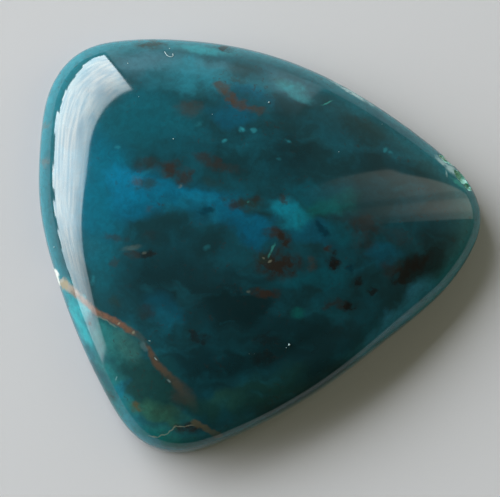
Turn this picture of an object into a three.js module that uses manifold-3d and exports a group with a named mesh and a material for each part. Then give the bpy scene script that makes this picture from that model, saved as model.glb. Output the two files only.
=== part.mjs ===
// A freeform three-cornered cabochon of polished chrysocolla: one solid stone with a flat
// ground base, a narrow bevel round the back, a low upright wall and a shallow dome. A knock near the point has left two small pits in the wall's upper edge.
//
// Millimetres, +Z up. The stone lies with its base on Z = 0 and its point towards +X.
// The origin is on the base, under the middle of the stone's bounding box.

import * as THREE from "three";
import { mergeVertices } from "three/addons/utils/BufferGeometryUtils.js";
import Module from "manifold-3d";

// The girdle, the stone's widest outline, passes through these places, anticlockwise
// from the point: up the long side, round the far corner, along the blunt side, round
// the near corner and back.
const GIRDLE = [
  [17.6, 2.4], [16.3, 5.3], [13.4, 8.0], [9.0, 11.2], [4.6, 13.7], [-0.4, 15.5],
  [-5.4, 16.3], [-10.2, 16.4], [-14.3, 15.6], [-16.7, 12.7], [-17.5, 7.6],
  [-17.4, 2.4], [-15.7, -3.8], [-12.8, -10.6], [-9.7, -15.4], [-6.6, -16.5],
  [-2.6, -15.3], [4.0, -11.9], [10.4, -7.1], [14.6, -3.5], [17.1, 0.3],
];
const LENGTH = 35; // along X, over the point
const HEIGHT = 6.8; // base to the top of the dome
const BEVEL_HEIGHT = 0.4; // the back bevel, up to the girdle
const BEVEL_INSET = 0.35; // how far the base's edge is inside the girdle
const WALL_TOP = 1.5; // where the wall meets the dome
const SUMMIT = new THREE.Vector2(-3.2, 1.6); // the middle of the dome, in plan
const MEAN_RADIUS = 15; // the summit to the girdle, on average
const SPOKES = 96; // steps round the stone
const DOME_RINGS = 12; // steps from the wall up to the summit
const POLISH_PASSES = 2; // how often the wheel evens out the girdle

// The two pits of the knock: middle, half length, half width and half depth of each
// scoop, and the direction that the edge runs in there.
const EDGE_DIRECTION = THREE.MathUtils.degToRad(-42);
const PITS = [
  { at: [14.85, 6.7, 1.3], half: [0.62, 0.42, 0.9] },
  { at: [15.95, 5.05, 2.2], half: [0.75, 0.5, 0.6] },
];

// Evenly spaced places on the girdle, one for each spoke.
function girdlePoints() {
  const corners = GIRDLE.map(([x, y]) => new THREE.Vector3(x, y, 0));
  const curve = new THREE.CatmullRomCurve3(corners, true, "centripetal");
  let points = curve.getSpacedPoints(SPOKES).slice(0, SPOKES);
  for (let pass = 0; pass < POLISH_PASSES; pass++) {
    points = points.map((point, i) => {
      const before = points[(i + SPOKES - 1) % SPOKES];
      const after = points[(i + 1) % SPOKES];
      return point.clone().multiplyScalar(2).add(before).add(after).divideScalar(4);
    });
  }
  return points.map((point) => new THREE.Vector2(point.x, point.y));
}

// Half of the stone's section as a round stone would have it: along the base, up the
// bevel and the wall, and over the dome, which is a quarter of an ellipse.
function sectionPoints() {
  const points = [
    new THREE.Vector2(0, 0),
    new THREE.Vector2(MEAN_RADIUS - BEVEL_INSET, 0),
    new THREE.Vector2(MEAN_RADIUS, BEVEL_HEIGHT),
  ];
  for (let ring = 0; ring < DOME_RINGS; ring++) {
    const angle = ((ring / DOME_RINGS) * Math.PI) / 2;
    const radius = MEAN_RADIUS * Math.cos(angle);
    points.push(new THREE.Vector2(radius, WALL_TOP + (HEIGHT - WALL_TOP) * Math.sin(angle)));
  }
  points.push(new THREE.Vector2(0, HEIGHT));
  return points;
}

// The round blank is turned from the section, and each of its spokes is then drawn out
// to the girdle. Rings near the summit stay rounder than the outline.
function stoneBlank() {
  const section = sectionPoints();
  const girdle = girdlePoints();
  const blank = new THREE.LatheGeometry(section, SPOKES);
  blank.deleteAttribute("normal");
  blank.deleteAttribute("uv");
  const position = blank.getAttribute("position");
  for (let i = 0; i < position.count; i++) {
    const { x: radius, y: height } = section[i % section.length];
    const spoke = girdle[Math.floor(i / section.length) % SPOKES].clone().sub(SUMMIT);
    const share = radius / MEAN_RADIUS;
    const reach = share * THREE.MathUtils.lerp(MEAN_RADIUS, spoke.length(), share);
    const place = spoke.setLength(reach).add(SUMMIT);
    position.setXYZ(i, place.x, place.y, height);
  }
  return mergeVertices(blank, 1e-4);
}

const wasm = await Module();
wasm.setup();

function toSolid(geometry) {
  const merged = geometry.clone();
  merged.deleteAttribute("normal");
  merged.deleteAttribute("uv");
  const closed = mergeVertices(merged, 1e-4);
  const vertProperties = closed.getAttribute("position").array;
  const triVerts = new Uint32Array(closed.index.array);
  return new wasm.Manifold(new wasm.Mesh({ numProp: 3, vertProperties, triVerts }));
}

function toGeometry(solid) {
  const mesh = solid.getMesh();
  const geometry = new THREE.BufferGeometry();
  geometry.setAttribute("position", new THREE.BufferAttribute(mesh.vertProperties, 3));
  geometry.setIndex(new THREE.BufferAttribute(mesh.triVerts, 1));
  return geometry;
}

// One scoop, lying along the edge.
function scoop({ at, half }) {
  const ball = new THREE.IcosahedronGeometry(1, 1);
  ball.scale(...half);
  ball.rotateZ(EDGE_DIRECTION);
  ball.translate(...at);
  return ball;
}

function stoneGeometry() {
  let stone = toSolid(stoneBlank());
  for (const pit of PITS) {
    stone = stone.subtract(toSolid(scoop(pit)));
  }
  const geometry = toGeometry(stone);
  geometry.computeBoundingBox();
  const { min, max } = geometry.boundingBox;
  const scale = LENGTH / (max.x - min.x);
  geometry.translate(-(min.x + max.x) / 2, -(min.y + max.y) / 2, 0);
  geometry.scale(scale, scale, 1);
  geometry.computeVertexNormals();
  return geometry;
}

const polishedChrysocolla = new THREE.MeshStandardMaterial({
  color: 0x10525f,
  roughness: 0.12,
  metalness: 0,
});

const cabochon = new THREE.Mesh(stoneGeometry(), polishedChrysocolla);
cabochon.name = "cabochon";

const specimen = new THREE.Group();
specimen.add(cabochon);

export default specimen;
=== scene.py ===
import math

import bmesh
import bpy
from mathutils import Matrix, Vector, noise
from mathutils.bvhtree import BVHTree


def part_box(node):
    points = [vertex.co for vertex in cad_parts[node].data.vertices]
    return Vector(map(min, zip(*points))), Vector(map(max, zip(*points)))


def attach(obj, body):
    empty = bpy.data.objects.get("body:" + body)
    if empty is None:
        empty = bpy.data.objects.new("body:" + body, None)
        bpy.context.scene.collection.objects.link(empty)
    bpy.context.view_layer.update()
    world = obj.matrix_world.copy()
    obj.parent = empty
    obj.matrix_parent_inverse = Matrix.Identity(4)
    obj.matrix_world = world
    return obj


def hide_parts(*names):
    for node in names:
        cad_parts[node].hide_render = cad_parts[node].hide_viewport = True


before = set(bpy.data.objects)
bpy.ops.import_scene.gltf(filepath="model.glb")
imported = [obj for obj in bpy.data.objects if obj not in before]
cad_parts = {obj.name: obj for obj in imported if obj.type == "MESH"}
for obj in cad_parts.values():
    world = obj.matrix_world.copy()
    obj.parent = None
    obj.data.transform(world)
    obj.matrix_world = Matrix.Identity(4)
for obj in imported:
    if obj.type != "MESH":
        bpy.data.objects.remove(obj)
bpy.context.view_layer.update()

# ---------------------------------------------------------------------------
# The cabochon: one solid piece of chrysocolla. It was sawn, ground to a freeform
# three-cornered outline, given a flat back with a narrow bevel and a low dome, and
# polished by hand, so the dome is not quite even. A knock has pitted its edge.
# ---------------------------------------------------------------------------

MM = 0.001
SUMMIT = Vector((-3.2, 1.6, 0)) * MM  # the middle of the dome, in plan
MEAN_RADIUS = 15 * MM
BEVEL_HEIGHT = 0.4 * MM
BEVEL_INSET = 0.35 * MM
WALL_TOP = 1.5 * MM
SPOKES = 480
BASE_RINGS = 12
WALL_RINGS = 8
DOME_RINGS = 90
POLISH_PASSES = 14  # rounds the girdle's corners off over half a millimetre
WAVE_LENGTH = 7 * MM  # the hand polish leaves broad, very shallow waves
WAVE_HEIGHT = 0.025 * MM
TIGHT_MIDDLE = math.radians(-67)  # the long lower edge was rounded over more tightly
TIGHT_REACH = math.radians(54)
TIGHT_FROM = 0.76  # of the way from the summit to the girdle
TIGHTNESS = 0.85

base_corner, top_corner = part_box("cabochon")
HEIGHT = top_corner.z


def girdle_of(mesh):
    """The widest outline of the rough shape, as evenly spaced, smoothed points."""
    corners = {}
    for vertex in mesh.vertices:
        if abs(vertex.co.z - BEVEL_HEIGHT) < 0.01 * MM:
            out = Vector((vertex.co.x, vertex.co.y, 0)) - SUMMIT
            corners[round(math.atan2(out.y, out.x), 4)] = out
    ring = [corners[angle] for angle in sorted(corners)]
    steps = [(ring[i - 1] - ring[i]).length for i in range(len(ring))]
    spacing = sum(steps) / SPOKES
    points = []
    walked = 0
    for i, corner in enumerate(ring):
        start = ring[i - 1]
        while len(points) * spacing < walked + steps[i] and len(points) < SPOKES:
            share = (len(points) * spacing - walked) / steps[i]
            points.append(start.lerp(corner, share))
        walked += steps[i]
    for _ in range(POLISH_PASSES):
        points = [
            (points[i - 1] + 2 * points[i] + points[(i + 1) % SPOKES]) / 4
            for i in range(SPOKES)
        ]
    return points


def section_points():
    """Half of the section of a round stone: base, bevel, wall and elliptical dome."""
    base_edge = MEAN_RADIUS - BEVEL_INSET
    points = [(base_edge * i / BASE_RINGS, 0) for i in range(BASE_RINGS)]
    points.append((base_edge, 0))
    for i in range(WALL_RINGS):
        share = i / WALL_RINGS
        height = BEVEL_HEIGHT + (WALL_TOP - BEVEL_HEIGHT) * share
        points.append((MEAN_RADIUS, height))
    for i in range(DOME_RINGS):
        angle = math.radians(90) * i / DOME_RINGS
        height = WALL_TOP + (HEIGHT - WALL_TOP) * math.sin(angle)
        points.append((MEAN_RADIUS * math.cos(angle), height))
    points.append((0, HEIGHT))
    return points


def mesh_from(name, shape):
    """Turns a bmesh into a mesh, and frees it."""
    mesh = bpy.data.meshes.new(name)
    shape.to_mesh(mesh)
    shape.free()
    return mesh


def put(name, data):
    """Puts a new object into the scene."""
    made = bpy.data.objects.new(name, data)
    bpy.context.scene.collection.objects.link(made)
    return made


girdle = girdle_of(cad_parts["cabochon"].data)

shape = bmesh.new()
section = [shape.verts.new((radius, 0, height)) for radius, height in section_points()]
edges = [shape.edges.new(pair) for pair in zip(section, section[1:])]
bmesh.ops.spin(
    shape,
    geom=section + edges,
    cent=(0, 0, 0),
    axis=(0, 0, 1),
    angle=math.radians(360),
    steps=SPOKES,
    use_merge=True,
)
bmesh.ops.remove_doubles(shape, verts=shape.verts, dist=0.001 * MM)

# Each spoke of the round blank is drawn out to the girdle. Rings near the summit stay
# rounder than the outline.
for vertex in shape.verts:
    radius = vertex.co.xy.length
    turn = math.atan2(vertex.co.y, vertex.co.x)
    spoke = girdle[round(turn / math.radians(360) * SPOKES) % SPOKES]
    share = radius / MEAN_RADIUS
    height = vertex.co.z
    if height > WALL_TOP and share > TIGHT_FROM:
        off_angle = math.atan2(spoke.y, spoke.x) - TIGHT_MIDDLE
        near = max(0, 1 - (off_angle / TIGHT_REACH) ** 4) ** 2
        outward = (share - TIGHT_FROM) / (1 - TIGHT_FROM)
        outward = outward * outward * (3 - 2 * outward)
        share = 1 - (1 - share) * (1 - TIGHTNESS * near * outward)
    reach = share * (MEAN_RADIUS + (spoke.length - MEAN_RADIUS) * share)
    place = SUMMIT + spoke.normalized() * reach
    if height > WALL_TOP:
        wave = noise.noise(place / WAVE_LENGTH) * WAVE_HEIGHT
        height += wave * (height - WALL_TOP) / (HEIGHT - WALL_TOP)
    vertex.co = (place.x, place.y, height)
bmesh.ops.recalc_face_normals(shape, faces=shape.faces)
for face in shape.faces:
    face.smooth = True

stone_tree = BVHTree.FromBMesh(shape)
stone = put("cabochon_stone", mesh_from("whole_stone", shape))

# A knock has broken two small chips out of the edge, each as two shell-shaped flakes.
FLAKE_TURN = math.radians(-46)  # along the edge there
LUMPS = 2.2  # in a flake's half size
LUMP_HEIGHT = 0.22  # as a share of the half size
RIPPLES = 7
RIPPLE_HEIGHT = LUMP_HEIGHT / 3
# plan place, height, and half sizes along the edge, into the stone and upwards
FLAKES = [
    ((14.95, 6.62, 1.75), (0.62, 0.4, 0.85)),
    ((14.5, 6.75, 2.45), (0.46, 0.28, 0.32)),
    ((15.9, 5.25, 2.5), (0.8, 0.46, 0.6)),
    ((16.35, 4.5, 2.3), (0.42, 0.32, 0.4)),
]
for place, half_sizes in FLAKES:
    turned = Matrix.Rotation(FLAKE_TURN, 4, "Z") @ Matrix.Diagonal((*half_sizes, 1))
    flake = bmesh.new()
    bmesh.ops.create_icosphere(flake, subdivisions=4, radius=1)
    for vertex in flake.verts:
        lump = noise.noise(vertex.co * LUMPS + Vector(place)) * LUMP_HEIGHT
        lump += noise.noise(vertex.co * RIPPLES + Vector(place)) * RIPPLE_HEIGHT
        vertex.co = (Matrix.Translation(place) @ turned @ (vertex.co * (1 + lump))) * MM
    cutter = put("flake", mesh_from("flake", flake))
    cut = stone.modifiers.new("flake", "BOOLEAN")
    cut.object = cutter
    cut.operation = "DIFFERENCE"
    cut.solver = "MANIFOLD"
depsgraph = bpy.context.evaluated_depsgraph_get()
stone_mesh = bpy.data.meshes.new_from_object(stone.evaluated_get(depsgraph))
stone_mesh.name = "cabochon_stone"
stone_mesh.materials.clear()
for cut in stone.modifiers[:]:
    bpy.data.objects.remove(cut.object)
    stone.modifiers.remove(cut)
stone.data = stone_mesh

# Each face that lies deeper than the polish is broken stone.
POLISHED = 0
BROKEN = 1
POLISH_DEPTH = 0.004 * MM
chipped = bmesh.new()
chipped.from_mesh(stone_mesh)
for face in chipped.faces:
    off_polish = stone_tree.find_nearest(face.calc_center_median())[3]
    face.material_index = BROKEN if off_polish > POLISH_DEPTH else POLISHED
    face.smooth = True
for edge in chipped.edges:
    edge.smooth = len({face.material_index for face in edge.link_faces}) == 1
chipped.to_mesh(stone_mesh)
chipped.free()


def linear(hex_colour):
    """An sRGB hex colour as linear red, green, blue and full alpha."""
    parts = [int(hex_colour[i : i + 2], 16) / 255 for i in (1, 3, 5)]
    return [p / 12.92 if p <= 0.04045 else ((p + 0.055) / 1.055) ** 2.4 for p in parts] + [1]


def bare(owner):
    """Turns on the nodes of a material, light or world, and starts it with none."""
    owner.use_nodes = True
    owner.node_tree.nodes.clear()
    return owner


def add(owner, kind, inputs=None, stops=(), points=(), **settings):
    """Adds a node to its owner, with its settings, and its inputs as values or links.
    stops are the places and colours of a ramp, and points are the places of a curve."""
    made = owner.node_tree.nodes.new(kind)
    for name, value in settings.items():
        setattr(made, name, value)
    for socket, value in (inputs or {}).items():
        if isinstance(value, bpy.types.NodeSocket):
            owner.node_tree.links.new(value, made.inputs[socket])
        else:
            made.inputs[socket].default_value = value
    for i, (place, colour) in enumerate(stops):
        elements = made.color_ramp.elements
        stop = elements[i] if i < len(elements) else elements.new(place)
        stop.position = place
        stop.color = colour
    if points:
        curve = made.mapping.curves[0]
        while len(curve.points) < len(points):
            curve.points.new(1, 1)
        for point, place in zip(curve.points, points):
            point.location = place
            point.handle_type = "AUTO_CLAMPED"
        made.mapping.update()
    return made


# Polished chrysocolla is a glassy blue-green gel of copper silicate, clouded by paler
# and darker gel and spotted with iron oxide. The polish gives it a hard, clear gloss
# over soft colours. The patterns are laid out in millimetres on the object's own
# coordinates.
chrysocolla = bare(bpy.data.materials.new("polished_chrysocolla"))
in_metres = add(chrysocolla, "ShaderNodeTexCoord").outputs["Object"]
plain_place = add(chrysocolla, "ShaderNodeVectorMath", {
    0: in_metres, "Scale": 1 / MM,
}, operation="SCALE").outputs["Vector"]
height_mm = add(chrysocolla, "ShaderNodeSeparateXYZ", {"Vector": plain_place}).outputs["Z"]


def stirred(place, size, reach):
    """The place pushed about by up to reach, in swirls of this size (millimetres)."""
    swirl = add(chrysocolla, "ShaderNodeTexNoise", {
        "Vector": place, "Scale": 1 / size, "Detail": 4,
    })
    centred = add(chrysocolla, "ShaderNodeVectorMath", {
        0: swirl.outputs["Color"], 1: (0.5, 0.5, 0.5),
    }, operation="SUBTRACT")
    push = 4 * reach  # the noise strays about a quarter from its middle
    return add(chrysocolla, "ShaderNodeVectorMath", {
        0: centred.outputs["Vector"], 1: (push, push, push), 2: place,
    }, operation="MULTIPLY_ADD").outputs["Vector"]


def top_height(x, y):
    """Height of the polished top over a place in plan, in millimetres."""
    hit = stone_tree.ray_cast(Vector((x, y, 100)) * MM, Vector((0, 0, -1)))[0]
    return hit.z / MM if hit else WALL_TOP / MM


LEAST_DEPTH = 1.2  # of a body below the dome, so that even a narrow one shows on it


def with_body(under, paint, place, x, y, along, across, turn, strength, fade, ragged=None):
    """The colour under with an ellipsoid of paint laid in it. along and across are half
    lengths in millimetres, turn is in degrees, and fade is the share of it that fades
    out. ragged, around 1, breaks up its edge."""
    inside = add(chrysocolla, "ShaderNodeMapping", {
        "Vector": place,
        "Location": (x, y, top_height(x, y)),
        "Rotation": (0, 0, math.radians(turn)),
        "Scale": (along, across, max(across, LEAST_DEPTH)),
    }, vector_type="TEXTURE")
    depth = add(chrysocolla, "ShaderNodeTexGradient", {
        "Vector": inside.outputs["Vector"],
    }, gradient_type="SPHERICAL").outputs["Fac"]
    if ragged:
        depth = add(chrysocolla, "ShaderNodeMath", {
            0: depth, 1: ragged,
        }, operation="MULTIPLY").outputs["Value"]
    share = add(chrysocolla, "ShaderNodeMapRange", {
        "Value": depth, "From Max": fade, "To Max": strength,
    }, interpolation_type="SMOOTHSTEP")
    return add(chrysocolla, "ShaderNodeMix", {
        0: share.outputs["Result"], 6: under, 7: paint,
    }, data_type="RGBA").outputs[2]


SEA_GREEN = linear("#0d3840")
SLATE = linear("#0b2023")
NIGHT = linear("#071a1c")
TEAL = linear("#074650")
BLUE_TEAL = linear("#034b5b")
CERULEAN = linear("#034b60")
BRIGHT_BLUE = linear("#04556d")
DEEP_BLUE = linear("#02455c")
TURQUOISE = linear("#0b5d6b")
GREEN_TEAL = linear("#094f4a")
BOTTLE_GREEN = linear("#122e2a")
PALE_GREEN = linear("#284c47")
MILKY_GREEN = linear("#1e5b5a")
MOSS = linear("#264c3c")
MILKY = linear("#165863")
HAZE = linear("#2b525c")
RIM_BLUE = linear("#21656e")
PALE_CYAN = linear("#227f84")
SHEEN_BLUE = linear("#286b82")

# The gel: large soft clouds, from the pale blunt end to the dark middle. A few are
# painted light: a painted reflection of a bright wall near the top edge, a painted sheen
# along the lower-right edge, and painted shade on the low rim on the side away from the window.
CLOUD_FADE = 0.68
# colour, x, y, half length, half width, turn, strength
CLOUDS = [
    (BLUE_TEAL, -12.6, 4.2, 7.4, 3.4, 90, 0.9),
    (TEAL, -12, -2.6, 3.8, 2.4, 90, 0.6),
    (TEAL, -8.4, 9.6, 5.6, 3.6, -10, 0.65),
    (HAZE, -8.5, 14.05, 3.8, 1.6, 0, 0.85),
    (MILKY, -4.8, 13.55, 3.6, 1.7, -8, 1.0),
    (HAZE, -3.15, 13.9, 2.4, 1.0, -12, 0.5),
    # Painted reflection: this cloud and the pale cyan one at 2.6, 12.1 stand for a bright wall
    # mirrored near the top edge.
    (HAZE, 2.3, 12.35, 3.8, 1.4, -26, 0.5),
    (MILKY, -7.4, 12.7, 2.8, 1.3, -4, 0.4),
    (MILKY, -4.6, 12.4, 3.6, 1.5, -6, 0.8),
    (MILKY, 0.4, 11.8, 2.6, 1.1, -16, 0.5),
    # Painted reflection of a bright wall near the top edge.
    (PALE_CYAN, 2.6, 12.1, 2.0, 1.0, -26, 0.45),
    (PALE_CYAN, -4.6, 15.4, 3.6, 1.0, -6, 0.5),
    (CERULEAN, -0.6, 11.3, 3.2, 1.0, -14, 0.4),
    (DEEP_BLUE, -2.15, 9.9, 2.3, 1.4, -20, 0.38),
    (SLATE, 2.15, 10.4, 1.8, 0.9, 30, 0.4),
    (SLATE, 2.35, 6.9, 3.2, 2.1, 0, 0.8),
    (SLATE, 9.35, 6.1, 6.0, 1.3, -6, 0.55),
    (SLATE, -2.35, 6.45, 3.2, 1.4, -14, 0.25),
    (SEA_GREEN, 10.2, 9.4, 4.4, 1.2, -34, 0.5),
    (HAZE, 11.2, 9.2, 3.8, 0.9, -36, 0.3),
    (CERULEAN, -5.9, 3.2, 6.4, 2.2, -10, 0.66),
    (CERULEAN, -9.4, 2.6, 3.0, 2.0, 0, 0.7),
    (BRIGHT_BLUE, -10.4, 4.3, 2.8, 2.1, 0, 1.0),
    (BRIGHT_BLUE, -6.95, 3.8, 2.1, 1.0, 0, 0.35),
    (BRIGHT_BLUE, -4.6, 3.3, 2.4, 1.2, -24, 0.62),
    (BRIGHT_BLUE, -2.55, 2.3, 1.8, 0.9, -30, 0.45),
    (DEEP_BLUE, -1.2, 0.95, 3.8, 1.6, -24, 0.75),
    (BRIGHT_BLUE, 0.45, 0.95, 1.8, 1.1, 0, 0.4),
    (TURQUOISE, 1.95, 1.9, 3.0, 1.25, -16, 1.0),
    (CERULEAN, 4.3, 0.35, 2.6, 1.2, -8, 0.45),
    (TEAL, 6.85, 0.45, 2.4, 0.9, 0, 0.5),
    (TEAL, 5.0, 3.6, 4.6, 1.6, 6, 0.45),
    (GREEN_TEAL, 5.4, 2.6, 3.6, 1.5, 14, 0.5),
    (SLATE, -6.85, -3.3, 5.8, 3.5, 0, 0.86),
    (SLATE, -5.4, -0.3, 5.2, 2.2, -8, 0.38),
    (SLATE, -1.95, -5.05, 6.4, 3.4, 0, 0.85),
    (NIGHT, -1.5, -4.9, 3.6, 2.0, 0, 0.75),
    (SLATE, 2.15, -8.1, 6.4, 2.6, 8, 0.76),
    (SLATE, -3.45, -9.5, 4.0, 2.6, 0, 0.75),
    (CERULEAN, -7.45, -5.65, 2.4, 1.5, -30, 0.25),
    (TEAL, 5.5, -3.05, 3.6, 1.2, -6, 0.5),
    (CERULEAN, 9.25, -1.45, 3.0, 1.3, 12, 0.45),
    (TEAL, 2.35, -3.3, 2.6, 1.2, 10, 0.5),
    # Painted sheen: a pale bluish band of reflected light along the lower-right edge.
    (SHEEN_BLUE, 11.1, -5.7, 6.2, 1.6, 41, 0.9),
    (NIGHT, 12.9, -1.5, 4.2, 1.9, 50, 0.8),
    (BOTTLE_GREEN, -8.9, -10.85, 4.8, 3.4, -42, 0.85),
    (MILKY_GREEN, -11.7, -7.6, 2.6, 1.8, -55, 0.8),
    (MILKY_GREEN, -11.9, -9.9, 2.8, 1.3, -62, 0.7),
    (PALE_GREEN, -10.4, -7.9, 2.2, 1.6, -50, 0.7),
    (TURQUOISE, -9.9, -12.6, 2.4, 1.0, -48, 0.35),
    (MILKY_GREEN, -10.6, -12.2, 2.8, 1.3, -50, 0.4),
    (MOSS, -7.9, -13.55, 3.2, 1.2, -20, 0.75),
    (MOSS, -2.6, -12.5, 2.8, 1.2, 34, 0.45),
    (BRIGHT_BLUE, -10.8, -11.35, 1.1, 0.8, 60, 0.35),
    (GREEN_TEAL, -7.55, -15.5, 3.6, 1.1, -8, 0.95),
    (MOSS, -7.4, -15.1, 3.0, 1.0, -8, 0.35),
    (PALE_CYAN, -14.1, -6.2, 4.6, 1.2, -62, 1.0),
    (TEAL, -12.4, -10.8, 3.6, 1.5, -58, 0.8),
    (GREEN_TEAL, -11.4, -12.6, 2.6, 1.0, -52, 0.5),
    # Painted shade: keeps the painted glow of the shoulder off the low rim on the side away from
    # the window.
    (NIGHT, 3.4, -11.4, 6.6, 2.2, 29, 0.6),
    (BOTTLE_GREEN, 0.4, -11.8, 5.2, 2.1, 24, 0.88),
    (BOTTLE_GREEN, -4.6, -13.3, 2.8, 1.4, -24, 0.8),
    (BOTTLE_GREEN, -12.5, -10.2, 3.0, 1.1, -60, 0.45),
    (SLATE, 8.6, -8.8, 3.2, 1.3, 38, 0.5),
]

# Iron oxide and clay: small ragged spots, some of them just under the surface.
RUST = linear("#36281e")
BROWN = linear("#251e1a")
UMBER = linear("#1f1a16")
IRON_BLACK = linear("#12100e")
OLIVE = linear("#1b2723")
INK_BLUE = linear("#03252f")
OCHRE = linear("#3d3420")
CLAY = linear("#4c4a46")
SPOT_FADE = 0.8
INCLUSIONS = [
    (BROWN, -6.95, 5.45, 1.1, 0.95, 20, 0.85),
    (BROWN, -6.05, 4.5, 0.9, 0.85, 0, 0.65),
    (BROWN, -5.7, 5.1, 0.8, 0.5, 30, 0.5),
    (RUST, -9.55, 4.5, 0.7, 0.6, 0, 0.6),
    (OLIVE, -9.5, 3.8, 0.5, 0.35, 0, 0.5),
    (BROWN, -8.65, 5.8, 1.6, 0.8, 0, 0.4),
    (OLIVE, -8.55, 4.2, 1.0, 0.8, 0, 0.65),
    (BROWN, -3.95, 5.95, 2.0, 0.75, -24, 0.6),
    (BROWN, -2.55, 5.45, 1.8, 0.6, -10, 0.3),
    (OLIVE, -3.85, 4.3, 0.9, 0.5, -30, 0.3),
    (UMBER, -1.85, 2.55, 0.9, 0.6, 10, 0.8),
    (OLIVE, -0.7, 2.65, 1.2, 0.9, 10, 0.8),
    (UMBER, -0.35, 3, 0.55, 0.5, 0, 0.5),
    (OLIVE, -2.7, 3.05, 0.5, 0.4, 0, 0.6),
    (INK_BLUE, -4, 2.05, 0.8, 0.55, 0, 0.8),
    (INK_BLUE, 4.8, 0.7, 1.1, 0.45, 114, 0.9),
    (BROWN, 1.85, 3, 0.65, 0.45, 0, 0.7),
    (RUST, -2.9, 11.95, 0.95, 0.8, -30, 0.7),
    (RUST, -2.35, 11.1, 1.2, 0.6, -52, 0.7),
    (RUST, -1.5, 10.55, 1.6, 0.65, -28, 0.62),
    (RUST, -0.4, 10.15, 1.4, 0.5, -12, 0.55),
    (OLIVE, -1.8, 12.45, 1.0, 0.4, 0, 0.5),
    (RUST, -5.5, 10.2, 1.6, 1.1, 0, 0.35),
    (OLIVE, 1.75, 12.55, 1.0, 0.45, -20, 0.35),
    (OLIVE, -8.7, 15.75, 1.7, 0.72, 0, 0.8),
    (IRON_BLACK, -2.8, 15.4, 1.0, 0.55, -10, 0.8),
    (CLAY, -16.85, 6.4, 0.8, 0.6, 0, 0.6),
    (CLAY, -16.9, 9.35, 0.8, 0.45, 0, 0.5),
    (OLIVE, 0.65, 0.4, 0.6, 0.5, 40, 0.35),
    (BROWN, 1.25, 0.25, 1.1, 0.7, -30, 0.85),
    (UMBER, 1.8, -0.2, 1.1, 0.8, -60, 0.95),
    (UMBER, 1.4, -2.05, 2.6, 1.6, -4, 1.0),
    (UMBER, 2.05, -1.75, 0.8, 0.8, 0, 0.7),
    (OLIVE, 0.3, -1.65, 0.9, 0.6, 0, 0.7),
    (IRON_BLACK, 5.7, -1.9, 1.1, 0.8, 100, 0.95),
    (BROWN, 5.2, -0.85, 0.6, 0.5, 0, 0.85),
    (RUST, 4, -2, 0.9, 0.55, 80, 0.4),
    (INK_BLUE, 7.05, -2.2, 0.6, 0.35, 80, 0.75),
    (IRON_BLACK, 7.5, -3.35, 0.9, 0.6, 90, 0.8),
    (IRON_BLACK, 8.7, -4.05, 0.45, 0.4, 0, 0.75),
    (IRON_BLACK, 6.85, -5.2, 0.95, 0.55, -16, 0.95),
    (BROWN, 6, -4.95, 1.0, 0.6, -10, 0.6),
    (BROWN, 5.2, -5.2, 0.7, 0.35, 10, 0.5),
    (IRON_BLACK, 12.15, -1.85, 1.4, 0.95, 24, 1.0),
    (IRON_BLACK, 11.15, -2.75, 1.5, 1.1, 36, 0.9),
    (IRON_BLACK, 13.05, -1.3, 0.8, 0.6, 20, 0.6),
    (BROWN, 10.25, -2.2, 1.3, 1.0, 0, 0.5),
    (BROWN, 8.05, -0.2, 1.4, 1.3, 0, 0.35),
    (BROWN, 8.2, 1.1, 2.2, 1.1, -8, 0.6),
    (BROWN, 10.8, 0.3, 1.7, 1.0, -20, 0.35),
    (RUST, -6.2, -12.4, 1.3, 0.8, -30, 0.35),
    (RUST, -8.6, 2.3, 0.5, 0.35, 0, 0.3),
    (BROWN, 0.45, -4.3, 1.6, 0.55, 0, 1.0),
    (IRON_BLACK, -4.55, -7.75, 1.2, 0.7, 0, 0.6),
    (IRON_BLACK, -5.3, -7.4, 0.7, 0.4, -20, 0.5),
    (IRON_BLACK, 0.3, -9.2, 1.6, 0.8, 0, 0.5),
    (IRON_BLACK, 0.5, -7.75, 1.5, 0.9, 0, 0.4),
    (BROWN, -9.9, -1.25, 1.1, 0.45, -4, 0.6),
    (IRON_BLACK, -8.75, -1.25, 1.1, 0.5, 4, 0.75),
    (UMBER, -8.45, 0.15, 0.9, 0.6, 0, 0.25),
    (BROWN, -11.3, 0.05, 1.6, 0.4, -6, 0.4),
    (BROWN, -11.3, -1.85, 0.65, 0.5, 0, 0.45),
    (UMBER, -8.85, -5.7, 0.95, 0.8, 0, 0.4),
    (OLIVE, -11.2, -4.9, 0.8, 0.6, 0, 0.45),
    (UMBER, -13.3, -6.3, 0.25, 0.16, -60, 0.7),
    (OCHRE, -9.6, -13, 0.65, 0.5, 0, 0.75),
    (OLIVE, -7.3, -13.45, 1.9, 0.7, 0, 0.5),
    (OLIVE, -11.8, -12.1, 0.9, 0.7, -50, 0.5),
    (UMBER, -5.65, -14.6, 1.6, 0.75, 4, 0.8),
]

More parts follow.
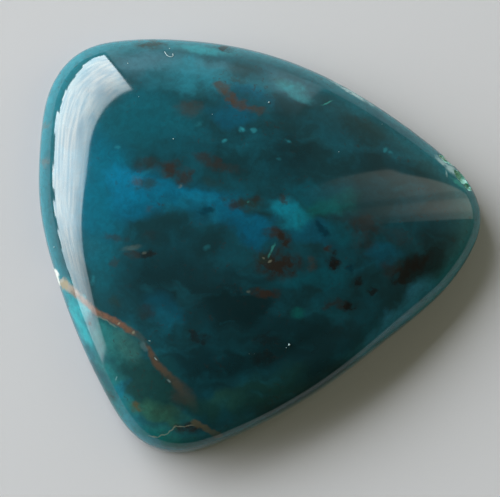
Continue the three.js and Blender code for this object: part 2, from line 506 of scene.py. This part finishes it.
# Green copper minerals and pale grains: small crisp spots.
MINT = linear("#3a8a80")
TURQUOISE_SPOT = linear("#226a72")
CREAM = linear("#7d7a68")
BRUISE = linear("#9fb5b3")
GRAINS = [
    (TURQUOISE_SPOT, -1.4, 8.5, 0.38, 0.32, 0, 0.75),
    (TURQUOISE_SPOT, -0.5, 8.45, 0.36, 0.3, 0, 0.55),
    (TURQUOISE_SPOT, 2.15, 7.6, 0.4, 0.18, -24, 0.4),
    (TURQUOISE_SPOT, 1.45, 6.2, 0.32, 0.18, 10, 0.2),
    (TURQUOISE_SPOT, 9.8, 7.15, 0.34, 0.24, 60, 0.5),
    (TURQUOISE_SPOT, 10.25, 6.95, 0.3, 0.18, -20, 0.3),
    (TURQUOISE_SPOT, -2.75, 7.6, 0.36, 0.2, 20, 0.65),
    (TURQUOISE_SPOT, -4.8, 8.95, 0.5, 0.3, 30, 0.2),
    (TURQUOISE_SPOT, -4.1, -0.8, 0.45, 0.32, 20, 0.2),
    (GREEN_TEAL, 2.95, -5.8, 0.75, 0.62, 0, 0.6),
    (TURQUOISE_SPOT, -11.1, 7.15, 0.34, 0.24, 0, 0.3),
    (TURQUOISE_SPOT, -13, -3.15, 0.5, 0.3, 80, 0.28),
    (MINT, 0.95, -0.85, 0.66, 0.17, 66, 0.34),
    (MINT, 0.7, -1.35, 0.3, 0.12, 80, 0.25),
    (CREAM, 0.78, -1.8, 0.24, 0.12, 24, 0.35),
    (CREAM, 0.25, -1.6, 0.16, 0.12, 0, 0.25),
    (MINT, -0.9, 2.8, 0.2, 0.13, 40, 0.2),
    (CREAM, -6.2, 4, 0.26, 0.2, 30, 0.16),
    (CREAM, -0.9, -4.15, 0.24, 0.18, 0, 0.2),
    (CREAM, -8.95, -1.15, 0.26, 0.16, 20, 0.15),
    (CREAM, -10, -0.75, 1.1, 0.3, 8, 0.1),
    (CREAM, -10.97, -6.51, 0.17, 0.11, 30, 0.45),
    (CREAM, -9.8, -7.24, 0.18, 0.12, 30, 0.35),
    (BRUISE, -8.52, -7.91, 0.15, 0.07, 0, 0.3),
    (BRUISE, -8.07, -9.32, 0.22, 0.07, -60, 0.3),
    (BRUISE, -7.08, -11.01, 0.24, 0.12, -20, 0.15),
    (BRUISE, -9.0, -8.35, 0.6, 0.3, -60, 0.06),
    (BRUISE, -11.22, -10.74, 0.2, 0.06, 80, 0.16),
    (MINT, 5.27, 10.87, 0.7, 0.09, 25, 0.4),
    (BRUISE, 7.3, 12.0, 2.6, 0.34, -32, 0.6),
    (BRUISE, 14.3, 6.45, 0.9, 0.26, -45, 0.5),
    (BRUISE, 15.15, 5.8, 0.95, 0.5, -40, 0.62),
    (BRUISE, 14.66, 5.45, 0.42, 0.13, 100, 0.35),
    (MINT, 15.6, 4.7, 1.1, 0.26, -40, 0.55),
]

# Healed cracks: fine threads of cream and tan mineral.
TAN = linear("#53462f")
THREAD_FADE = 0.5
THREAD_OVERLAP = 1.5  # each straight piece of a thread runs on into the next
# colour, half width, strength, places in millimetres
THREADS = [
    (CREAM, 0.065, 0.36, [
        (-8.63, -15.18), (-7.99, -15.27), (-7.12, -14.97),
        (-6.56, -14.44), (-5.86, -14.5), (-5.16, -14.36),
    ]),
    (TAN, 0.34, 0.5, [(-5.3, -14.1), (-4.5, -14.45), (-3.9, -14.85), (-2.95, -15.25)]),
    (CREAM, 0.09, 0.2, [(-12.72, -5.88), (-12.25, -6.1), (-11.85, -6.33), (-11.18, -6.78)]),
]

soft_place = stirred(plain_place, 2.6, 0.9)
fine_place = stirred(plain_place, 0.7, 0.28)
crisp_place = stirred(plain_place, 0.4, 0.07)

CLOUD_SIZE = 3.2  # of the slow changes from darker to paler gel, in millimetres
clouded = add(chrysocolla, "ShaderNodeTexNoise", {
    "Vector": soft_place, "Scale": 1 / CLOUD_SIZE, "Detail": 5, "Roughness": 0.55,
})
mottled = add(chrysocolla, "ShaderNodeMapRange", {
    "Value": clouded.outputs["Fac"], "From Min": 0.38, "From Max": 0.62,
}, interpolation_type="SMOOTHSTEP")
colour = add(chrysocolla, "ShaderNodeMix", {
    0: mottled.outputs["Result"], 6: linear("#0e2b2f"), 7: SEA_GREEN,
}, data_type="RGBA").outputs[2]

# The low shoulder is paler, because light gets in from the side there.
rim = add(chrysocolla, "ShaderNodeMapRange", {
    "Value": height_mm, "From Min": 4.3, "From Max": 2.3,
}, interpolation_type="SMOOTHSTEP")
colour = add(chrysocolla, "ShaderNodeMix", {
    0: rim.outputs["Result"], 6: colour, 7: RIM_BLUE,
}, data_type="RGBA").outputs[2]
for paint, *where in CLOUDS:
    colour = with_body(colour, paint, soft_place, *where, fade=CLOUD_FADE)

# Milky threads of paler gel lie level across the stone, and curl.
CURL_SIZE = 1.3
level = add(chrysocolla, "ShaderNodeMapping", {
    "Vector": soft_place, "Rotation": (0, 0, math.radians(8)), "Scale": (0.13, 0.8, 0.8),
})
curled = add(chrysocolla, "ShaderNodeTexNoise", {
    "Vector": level.outputs["Vector"], "Scale": 1 / CURL_SIZE, "Detail": 4, "Roughness": 0.5,
})
milky_threads = add(chrysocolla, "ShaderNodeMapRange", {
    "Value": curled.outputs["Fac"], "From Min": 0.5, "From Max": 0.8, "To Max": 0.3,
}, interpolation_type="SMOOTHSTEP")
colour = add(chrysocolla, "ShaderNodeMix", {
    0: milky_threads.outputs["Result"], 6: colour, 7: MILKY,
}, data_type="RGBA").outputs[2]
GRAIN_SIZE = 0.5  # of the fine dark grain all through it, in millimetres
grainy = add(chrysocolla, "ShaderNodeTexNoise", {
    "Vector": fine_place, "Scale": 1 / GRAIN_SIZE, "Detail": 4, "Roughness": 0.6,
})
grain = add(chrysocolla, "ShaderNodeMapRange", {
    "Value": grainy.outputs["Fac"], "From Min": 0.3, "From Max": 0.7, "To Max": 0.28,
}, interpolation_type="SMOOTHSTEP")
colour = add(chrysocolla, "ShaderNodeMix", {
    0: grain.outputs["Result"], 6: colour, 7: SLATE,
}, data_type="RGBA").outputs[2]

CRUMB_SIZE = 0.55  # of what breaks up the edges of the spots, in millimetres
crumbly = add(chrysocolla, "ShaderNodeTexNoise", {
    "Vector": plain_place, "Scale": 1 / CRUMB_SIZE, "Detail": 4, "Roughness": 0.55,
})
ragged = add(chrysocolla, "ShaderNodeMapRange", {
    "Value": crumbly.outputs["Fac"], "From Min": 0.3, "From Max": 0.7, "To Min": 0.4, "To Max": 1.6,
}).outputs["Result"]
for paint, *where in INCLUSIONS:
    colour = with_body(colour, paint, fine_place, *where, fade=SPOT_FADE, ragged=ragged)

# The rest of the iron is a fine pepper, thicker in some clouds than in others.
PEPPER_SIZE = 0.32
PEPPER_CLOUDS = 3.5
fine_spots = add(chrysocolla, "ShaderNodeTexNoise", {
    "Vector": fine_place, "Scale": 1 / PEPPER_SIZE, "Detail": 2,
})
peppered = add(chrysocolla, "ShaderNodeMapRange", {
    "Value": fine_spots.outputs["Fac"], "From Min": 0.6, "From Max": 0.72, "To Max": 0.45,
}, interpolation_type="SMOOTHSTEP")
pepper_clouds = add(chrysocolla, "ShaderNodeTexNoise", {
    "Vector": plain_place, "Scale": 1 / PEPPER_CLOUDS, "Detail": 3,
})
pepper_here = add(chrysocolla, "ShaderNodeMapRange", {
    "Value": pepper_clouds.outputs["Fac"], "From Min": 0.45, "From Max": 0.6,
}, interpolation_type="SMOOTHSTEP")
pepper = add(chrysocolla, "ShaderNodeMath", {
    0: peppered.outputs["Result"], 1: pepper_here.outputs["Result"],
}, operation="MULTIPLY")
colour = add(chrysocolla, "ShaderNodeMix", {
    0: pepper.outputs["Value"], 6: colour, 7: BROWN,
}, data_type="RGBA").outputs[2]

# The vein: a healed crack filled with copper-brown clay, that crosses the blunt
# corner. Its places are along the middle of it, in millimetres, with half its width.
VEIN = [
    (-15.7, -2.9, 0.32), (-14.65, -3.85, 0.26), (-13.45, -4.95, 0.21), (-12.85, -5.5, 0.2),
    (-12.1, -5.9, 0.21), (-11.05, -6.45, 0.22), (-10.2, -7.05, 0.22), (-9.25, -7.65, 0.21),
    (-8.75, -8.3, 0.18), (-8.3, -9.2, 0.25), (-7.8, -9.9, 0.26), (-7, -10.65, 0.27),
    (-6.3, -11.35, 0.38), (-5.65, -12.0, 0.44), (-5.2, -12.7, 0.4), (-4.9, -13.6, 0.3),
]
VEIN_SWAY = 1.5  # the most that the vein strays from its chord
start = Vector(VEIN[0][:2])
chord = Vector(VEIN[-1][:2]) - start
across_chord = Vector((-chord.y, chord.x)).normalized()
vein_place = add(chrysocolla, "ShaderNodeMapping", {
    "Vector": crisp_place,
    "Location": (start.x, start.y, 0),
    "Rotation": (0, 0, math.atan2(chord.y, chord.x)),
    "Scale": (chord.length, 1, 1),
}, vector_type="TEXTURE")
vein_axes = add(chrysocolla, "ShaderNodeSeparateXYZ", {"Vector": vein_place.outputs["Vector"]})
sway_points = []
width_points = []
for x, y, half_width in VEIN:
    out = Vector((x, y)) - start
    share = out.dot(chord.normalized()) / chord.length
    sway_points.append((share, 0.5 + out.dot(across_chord) / (2 * VEIN_SWAY)))
    width_points.append((share, half_width))
sway = add(chrysocolla, "ShaderNodeFloatCurve", {
    "Value": vein_axes.outputs["X"],
}, points=sway_points)
sway_mm = add(chrysocolla, "ShaderNodeMath", {
    0: sway.outputs["Value"], 1: 2 * VEIN_SWAY, 2: -VEIN_SWAY,
}, operation="MULTIPLY_ADD")
half_width = add(chrysocolla, "ShaderNodeFloatCurve", {
    "Value": vein_axes.outputs["X"],
}, points=width_points)
off_middle = add(chrysocolla, "ShaderNodeMath", {
    0: vein_axes.outputs["Y"], 1: sway_mm.outputs["Value"],
}, operation="SUBTRACT")
far_off = add(chrysocolla, "ShaderNodeMath", {0: off_middle.outputs["Value"]}, operation="ABSOLUTE")
in_widths = add(chrysocolla, "ShaderNodeMath", {
    0: far_off.outputs["Value"], 1: half_width.outputs["Value"],
}, operation="DIVIDE")
vein_core = add(chrysocolla, "ShaderNodeMapRange", {
    "Value": in_widths.outputs["Value"], "From Min": 1.6, "From Max": 0.3,
}, interpolation_type="SMOOTHSTEP")
# It starts solid, thins where a paler flaw crosses it, and fades into the green.
vein_strength = add(chrysocolla, "ShaderNodeFloatCurve", {
    "Value": vein_axes.outputs["X"],
}, points=[
    (0, 0), (0.02, 0.9), (0.44, 0.9), (0.5, 0.3), (0.55, 0.2),
    (0.6, 0.75), (0.8, 0.6), (0.92, 0.3), (1, 0),
])
vein_share = add(chrysocolla, "ShaderNodeMath", {
    0: vein_core.outputs["Result"], 1: vein_strength.outputs["Value"],
}, operation="MULTIPLY")
vein_colour = add(chrysocolla, "ShaderNodeValToRGB", {"Fac": vein_axes.outputs["X"]}, stops=[
    (0, linear("#8c8375")), (0.12, linear("#766052")), (0.2, linear("#66483a")),
    (0.42, linear("#573b2d")), (0.55, linear("#44382c")), (0.62, linear("#4a3222")),
    (0.85, linear("#40352a")), (1, linear("#393a2e")),
])
patchy = add(chrysocolla, "ShaderNodeMapRange", {
    "Value": crumbly.outputs["Fac"], "From Min": 0.5, "From Max": 0.72, "To Max": 0.55,
})
vein_clay = add(chrysocolla, "ShaderNodeMix", {
    0: patchy.outputs["Result"], 6: vein_colour.outputs["Color"], 7: OLIVE,
}, data_type="RGBA").outputs[2]
colour = add(chrysocolla, "ShaderNodeMix", {
    0: vein_share.outputs["Value"], 6: colour, 7: vein_clay,
}, data_type="RGBA").outputs[2]

# Where the vein comes out at the edge it opens into a pale clay patch.
PATCH_FADE = 0.5
for paint, *where in [
    (linear("#c9c7bb"), -16.05, -2.55, 1.1, 0.5, -66, 0.9),
    (linear("#7d7058"), -15.35, -3.3, 0.55, 0.4, -60, 0.8),
]:
    colour = with_body(colour, paint, fine_place, *where, fade=PATCH_FADE)
for paint, *where in GRAINS:
    colour = with_body(colour, paint, crisp_place, *where, fade=SPOT_FADE, ragged=ragged)
for paint, half_width, strength, places in THREADS:
    for here, there in zip(places, places[1:]):
        step = Vector(there) - Vector(here)
        middle = (Vector(there) + Vector(here)) / 2
        turn = math.degrees(math.atan2(step.y, step.x))
        colour = with_body(
            colour, paint, crisp_place, middle.x, middle.y,
            step.length / 2 * THREAD_OVERLAP, half_width, turn, strength, fade=THREAD_FADE,
        )

# The back and its narrow bevel were ground flat and left matt, which looks paler.
ground = add(chrysocolla, "ShaderNodeMapRange", {
    "Value": height_mm, "From Min": 0.5, "From Max": 0.3,
}, interpolation_type="SMOOTHSTEP")
DUSTINESS = 0.4
dusty = add(chrysocolla, "ShaderNodeMix", {
    0: DUSTINESS, 6: colour, 7: linear("#5c7f82"),
}, data_type="RGBA")
colour = add(chrysocolla, "ShaderNodeMix", {
    0: ground.outputs["Result"], 6: colour, 7: dusty.outputs[2],
}, data_type="RGBA").outputs[2]
SMEAR_SIZE = 4  # patches that took a slightly duller polish
smeared = add(chrysocolla, "ShaderNodeTexNoise", {"Vector": plain_place, "Scale": 1 / SMEAR_SIZE})
polish = add(chrysocolla, "ShaderNodeMapRange", {
    "Value": smeared.outputs["Fac"], "From Min": 0.3, "From Max": 0.7,
    "To Min": 0.035, "To Max": 0.075,
})
roughness = add(chrysocolla, "ShaderNodeMix", {
    0: ground.outputs["Result"], 2: polish.outputs["Result"], 3: 0.55,
}).outputs[0]
surface = add(chrysocolla, "ShaderNodeBsdfPrincipled", {
    "Base Color": colour, "Roughness": roughness, "IOR": 1.5,
})
add(chrysocolla, "ShaderNodeOutputMaterial", {"Surface": surface.outputs["BSDF"]})

# Freshly broken chrysocolla is chalky: crushed pale blue-grey, with green and brown
# gel showing where the flake came off clean.
fresh_break = bare(bpy.data.materials.new("broken_chrysocolla"))
BREAK_GRAIN = 0.3 * MM
break_place = add(fresh_break, "ShaderNodeTexCoord").outputs["Object"]
crushed = add(fresh_break, "ShaderNodeTexNoise", {
    "Vector": break_place, "Scale": 1 / BREAK_GRAIN, "Detail": 5, "Roughness": 0.7,
})
broken_colour = add(fresh_break, "ShaderNodeValToRGB", {"Fac": crushed.outputs["Fac"]}, stops=[
    (0.3, linear("#7a7666")), (0.4, linear("#5a9482")), (0.5, linear("#7ab5a4")),
    (0.58, linear("#9fbeb8")), (0.72, linear("#bccdc9")),
])
broken_surface = add(fresh_break, "ShaderNodeBsdfPrincipled", {
    "Base Color": broken_colour.outputs["Color"], "Roughness": 0.6, "IOR": 1.5,
})
add(fresh_break, "ShaderNodeOutputMaterial", {"Surface": broken_surface.outputs["BSDF"]})
stone_mesh.materials.append(chrysocolla)
stone_mesh.materials.append(fresh_break)
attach(stone, "root")
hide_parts("cabochon")

# ---------------------------------------------------------------------------
# Dust: a few specks and one curled thread of lint, caught on the polish. They are
# pale household dust and cotton, and lie where they fell.
# ---------------------------------------------------------------------------

SPECK = 0.045  # half size of a common speck, in millimetres
# x, y, size of each beside a common one
SPECKS = [
    (-6.74, 7.75, 1.05), (0.7, 10.75, 1.4), (-3.72, 9.73, 0.6), (-9.48, 11.21, 0.6),
    (6.14, 6.85, 0.6), (-10.38, 14.04, 0.95), (-7.12, 15.33, 0.8), (-0.85, -8.92, 0.5),
    (-0.46, -8.92, 0.45), (-16.14, -0.38, 1.2), (2.03, -8.43, 0.8), (2.26, -8.2, 1.7),
    (-12.4, -12.9, 0.7), (9.6, 9.3, 0.6),
]
SPECK_LUMP = 0.35  # as a share of a speck's half size
LINT = [(-7.5, 15.05), (-7.4, 14.8), (-7.2, 14.62), (-6.95, 14.55), (-6.8, 14.68), (-6.86, 14.85)]
LINT_HALF_WIDTH = 0.025
LINT_ROUNDNESS = 3


def on_polish(x, y, above=0):
    """A point on the polished top, or a little above it, from a place in plan."""
    return Vector((x, y, top_height(x, y) + above)) * MM


dust_shape = bmesh.new()
for x, y, size in SPECKS:
    speck = bmesh.ops.create_icosphere(dust_shape, subdivisions=2, radius=SPECK * size * MM)
    for vertex in speck["verts"]:
        lump = 1 + SPECK_LUMP * noise.noise(vertex.co / (SPECK * MM) + Vector((x, y, 0)))
        vertex.co = vertex.co * lump + on_polish(x, y, SPECK * size / 2)
thread = bpy.data.curves.new("lint", "CURVE")
thread.dimensions = "3D"
thread.bevel_depth = LINT_HALF_WIDTH * MM
thread.bevel_resolution = LINT_ROUNDNESS
thread.use_fill_caps = True
path = thread.splines.new("NURBS")
path.points.add(len(LINT) - 1)
for point, (x, y) in zip(path.points, LINT):
    point.co = (*on_polish(x, y, LINT_HALF_WIDTH), 1)
path.use_endpoint_u = True
path.order_u = 3
thread_object = put("lint", thread)
bpy.context.view_layer.update()
thread_mesh = bpy.data.meshes.new_from_object(thread_object)
dust_shape.from_mesh(thread_mesh)
bpy.data.objects.remove(thread_object)
bmesh.ops.remove_doubles(dust_shape, verts=dust_shape.verts, dist=0.0005 * MM)
bmesh.ops.recalc_face_normals(dust_shape, faces=dust_shape.faces)
for face in dust_shape.faces:
    face.smooth = True
dust = put("dust_and_lint", mesh_from("dust_and_lint", dust_shape))

# Cotton dust scatters light softly and has no gloss.
cotton = bare(bpy.data.materials.new("cotton_dust"))
fluff = add(cotton, "ShaderNodeBsdfPrincipled", {
    "Base Color": linear("#8d9c9c"), "Roughness": 0.95, "Specular IOR Level": 0.2,
})
add(cotton, "ShaderNodeOutputMaterial", {"Surface": fluff.outputs["BSDF"]})
dust.data.materials.append(cotton)
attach(dust, "root")

# ---------------------------------------------------------------------------
# The floor: a plain pale painted board, larger than any view of the stone, which lies
# loose on it.
# ---------------------------------------------------------------------------

FLOOR_HALF = 600 * MM
board = bmesh.new()
bmesh.ops.create_grid(board, x_segments=1, y_segments=1, size=FLOOR_HALF)
floor = put("floor", mesh_from("floor", board))

# Matt paint looks the same from every side, so only the shadow shows on it.
pale_paint = bare(bpy.data.materials.new("pale_matt_paint"))
paint = add(pale_paint, "ShaderNodeBsdfPrincipled", {
    "Base Color": linear("#a69f9f"), "Roughness": 0.8,
})
add(pale_paint, "ShaderNodeOutputMaterial", {"Surface": paint.outputs["BSDF"]})
floor.data.materials.append(pale_paint)

# ---------------------------------------------------------------------------
# Light: one broad soft window low on the blunt side, two dim panels for the walls of
# the room, a third that opens up the shadow, and a little warm light from everywhere
# else, least from above and from in front.
# ---------------------------------------------------------------------------


def panel(name, azimuth, distance, across, upward, radiance):
    """A rectangular soft light that stands upright and faces the stone. across and
    upward are the two ends of its width and of its height, as shares of distance."""
    data = bpy.data.lights.new(name, "AREA")
    data.shape = "RECTANGLE"
    data.size = (across[1] - across[0]) * distance
    data.size_y = (upward[1] - upward[0]) * distance
    data.energy = radiance * math.pi * data.size * data.size_y
    turn = math.radians(azimuth)
    out = Vector((math.cos(turn), math.sin(turn), 0))
    side = Vector((-math.sin(turn), math.cos(turn), 0))
    up = Vector((0, 0, 1))
    middle = out + side * sum(across) / 2 + up * sum(upward) / 2
    light = put(name, bare(data))
    facing = Matrix((side, up, out)).transposed().to_4x4()
    light.matrix_world = Matrix.Translation(middle * distance) @ facing
    light.visible_camera = False
    return light


def places_on(data):
    """Where on a panel a point is, from 0 to 1: the place, its share along and up."""
    spot = add(data, "ShaderNodeNewGeometry").outputs["Parametric"]
    split = add(data, "ShaderNodeSeparateXYZ", {"Vector": spot})
    return spot, split.outputs["X"], split.outputs["Y"]


def shine(data, colour, strength=1):
    """Makes a panel glow, with its colour and strength as values or links."""
    glow = add(data, "ShaderNodeEmission", {"Color": colour, "Strength": strength})
    add(data, "ShaderNodeOutputLight", {"Surface": glow.outputs["Emission"]})


# The window is brightest at its far end, its sill is cluttered, and what is outside
# shows as faint level streaks.
ROOM = 600 * MM  # from the stone to each panel
window = panel(
    "window", 134.5, ROOM, across=(-0.49, 2.6), upward=(0, 1.1), radiance=17.6
).data
spot, along, height = places_on(window)
fade = add(window, "ShaderNodeFloatCurve", {"Value": along}, points=[
    (0, 0.92), (0.1, 0.92), (0.17, 0.9), (0.25, 0.94),
    (0.46, 0.87), (0.58, 0.66), (0.73, 0.42), (1, 0.22),
])
SILL_STEPS = [  # where each thing on the sill starts, and its height
    (0, 0.12), (0.06, 0.16), (0.11, 0.2), (0.16, 0.26), (0.22, 0.21), (0.26, 0.24),
    (0.3, 0.14), (0.345, 0.19), (0.38, 0.13), (0.42, 0.18), (0.45, 0.11), (0.5, 0.15),
    (0.54, 0.08), (0.57, 0.11), (0.6, 0.03), (0.66, 0.06), (0.72, 0),
]
CLUTTER_HEIGHT = 0.17
sill = add(window, "ShaderNodeValToRGB", {"Fac": along}, stops=[
    (place, (step, step, step, 1)) for place, step in SILL_STEPS
])
sill.color_ramp.interpolation = "CONSTANT"
clutter = add(window, "ShaderNodeTexNoise", {"Vector": spot, "Scale": 17, "Detail": 4})
raised = add(window, "ShaderNodeMath", {
    0: height, 1: sill.outputs["Color"],
}, operation="SUBTRACT")
over_clutter = add(window, "ShaderNodeMath", {
    0: clutter.outputs["Fac"], 1: CLUTTER_HEIGHT, 2: raised.outputs["Value"],
}, operation="MULTIPLY_ADD")
open_part = add(window, "ShaderNodeMath", {
    0: over_clutter.outputs["Value"], 1: CLUTTER_HEIGHT / 2,
}, operation="GREATER_THAN")
stretch = add(window, "ShaderNodeMapping", {"Vector": spot, "Scale": (12, 19, 1)})
outside = add(window, "ShaderNodeTexNoise", {
    "Vector": stretch.outputs["Vector"], "Scale": 1, "Detail": 2, "Roughness": 0.45,
})
streaks = add(window, "ShaderNodeMapRange", {
    "Value": outside.outputs["Fac"], "From Min": 0.3, "From Max": 0.7,
    "To Min": 0.84, "To Max": 1.16,
})
sky = add(window, "ShaderNodeFloatCurve", {"Value": height}, points=[
    (0, 0.86), (0.2, 0.93), (0.42, 1), (0.62, 0.96), (0.82, 0.7), (1, 0.42),
])
graded = add(window, "ShaderNodeMath", {
    0: fade.outputs["Value"], 1: sky.outputs["Value"],
}, operation="MULTIPLY")
dimmed = add(window, "ShaderNodeMath", {
    0: graded.outputs["Value"], 1: streaks.outputs["Result"],
}, operation="MULTIPLY")
window_strength = add(window, "ShaderNodeMath", {
    0: dimmed.outputs["Value"], 1: open_part.outputs["Value"],
}, operation="MULTIPLY")
tint = add(window, "ShaderNodeValToRGB", {"Fac": outside.outputs["Fac"]}, stops=[
    (0.38, linear("#daeffd")), (0.6, linear("#f1f7f8")),
])
shine(window, tint.outputs["Color"], window_strength.outputs["Value"])

# The far wall is bluish, and brightest at its two ends.
far_wall = panel(
    "far_wall", 84, ROOM, across=(-0.35, 0.42), upward=(0, 1.1), radiance=2
).data
along, height = places_on(far_wall)[1:]
fade = add(far_wall, "ShaderNodeFloatCurve", {"Value": along}, points=[
    (0, 0.5), (0.07, 0.8), (0.16, 0.8), (0.28, 0.4), (0.75, 0.42), (0.9, 0.8), (1, 0.9),
])
lower = add(far_wall, "ShaderNodeFloatCurve", {"Value": height}, points=[
    (0, 1), (0.5, 0.9), (0.62, 0.4), (0.8, 0.2), (1, 0),
])
product = add(far_wall, "ShaderNodeMath", {
    0: fade.outputs["Value"], 1: lower.outputs["Value"],
}, operation="MULTIPLY")
shine(far_wall, linear("#b8d6e2"), product.outputs["Value"])

# The near wall is dull, with a darker upright in it, and something in front of it
# hides its lower far corner.
near_wall = panel(
    "near_wall", 24, ROOM, across=(-0.36, 0.43), upward=(0.05, 3), radiance=1.9
).data
along, height = places_on(near_wall)[1:]
upright = add(near_wall, "ShaderNodeFloatCurve", {"Value": along}, points=[
    (0, 0.45), (0.14, 0.6), (0.3, 0.95), (0.44, 0.85),
    (0.5, 0.52), (0.57, 0.5), (0.64, 0.75), (1, 0.75),
])
lower = add(near_wall, "ShaderNodeFloatCurve", {"Value": height}, points=[
    (0, 1), (0.3, 0.75), (0.5, 0.38), (0.75, 0.1), (1, 0),
])
slope = add(near_wall, "ShaderNodeMath", {
    0: along, 1: -0.73, 2: 0.4,
}, operation="MULTIPLY_ADD")
above = add(near_wall, "ShaderNodeMath", {0: height, 1: slope.outputs["Value"]})
corner = add(near_wall, "ShaderNodeMapRange", {
    "Value": above.outputs["Value"], "From Min": -0.02, "From Max": 0.03,
}, interpolation_type="SMOOTHSTEP")
lit = add(near_wall, "ShaderNodeMath", {
    0: upright.outputs["Value"], 1: lower.outputs["Value"],
}, operation="MULTIPLY")
product = add(near_wall, "ShaderNodeMath", {
    0: lit.outputs["Value"], 1: corner.outputs["Result"],
}, operation="MULTIPLY")
shine(near_wall, linear("#fff5e4"), product.outputs["Value"])

# A dim greenish panel on the shaded side opens up the shadow. It is left out of the
# reflections, because the polish there mirrors a dark corner of the room.
fill = panel("fill", -35, ROOM, across=(-0.7, 0.7), upward=(0.5, 2), radiance=0.74)
fill.visible_glossy = False
shine(fill.data, linear("#e4ffd2"))

room = bare(bpy.data.worlds.new("room"))
direction = add(room, "ShaderNodeTexCoord").outputs["Generated"]
split = add(room, "ShaderNodeSeparateXYZ", {"Vector": direction})
dark_above = add(room, "ShaderNodeValToRGB", {"Fac": split.outputs["Z"]}, stops=[
    (0.05, linear("#7c7e6c")), (0.35, linear("#9c9f85")),
    (0.6, linear("#818471")), (0.92, linear("#45453f")),
])
dark_in_front = add(room, "ShaderNodeMapRange", {
    "Value": split.outputs["Y"], "From Min": -0.6, "From Max": 0.05, "To Min": 0.2,
}, interpolation_type="SMOOTHSTEP")
background = add(room, "ShaderNodeBackground", {
    "Color": dark_above.outputs["Color"], "Strength": dark_in_front.outputs["Result"],
})
add(room, "ShaderNodeOutputWorld", {"Surface": background.outputs["Background"]})
bpy.context.scene.world = room
bpy.context.scene.view_settings.view_transform = "Standard"

# ---------------------------------------------------------------------------
# Camera: nearly straight above the stone and a hand's span over it. Its lens is just
# short enough to take in the whole stone.
# ---------------------------------------------------------------------------

ELEVATION = math.radians(84)
DISTANCE = 250 * MM
STONE_SHARE = 0.885  # of the view's width
VIEW_WIDTH = (top_corner.x - base_corner.x) / STONE_SHARE
AIM = Vector((-0.78, -0.26, 1)) * MM
camera_data = bpy.data.cameras.new("camera")
camera_data.sensor_width = 36
camera_data.lens = camera_data.sensor_width * DISTANCE / VIEW_WIDTH
camera_data.clip_start = 1 * MM
camera = put("camera", camera_data)
toward = Vector((0, -math.cos(ELEVATION), math.sin(ELEVATION)))
camera.location = AIM + toward * DISTANCE
camera.rotation_euler = toward.to_track_quat("Z", "Y").to_euler()
bpy.context.scene.camera = camera
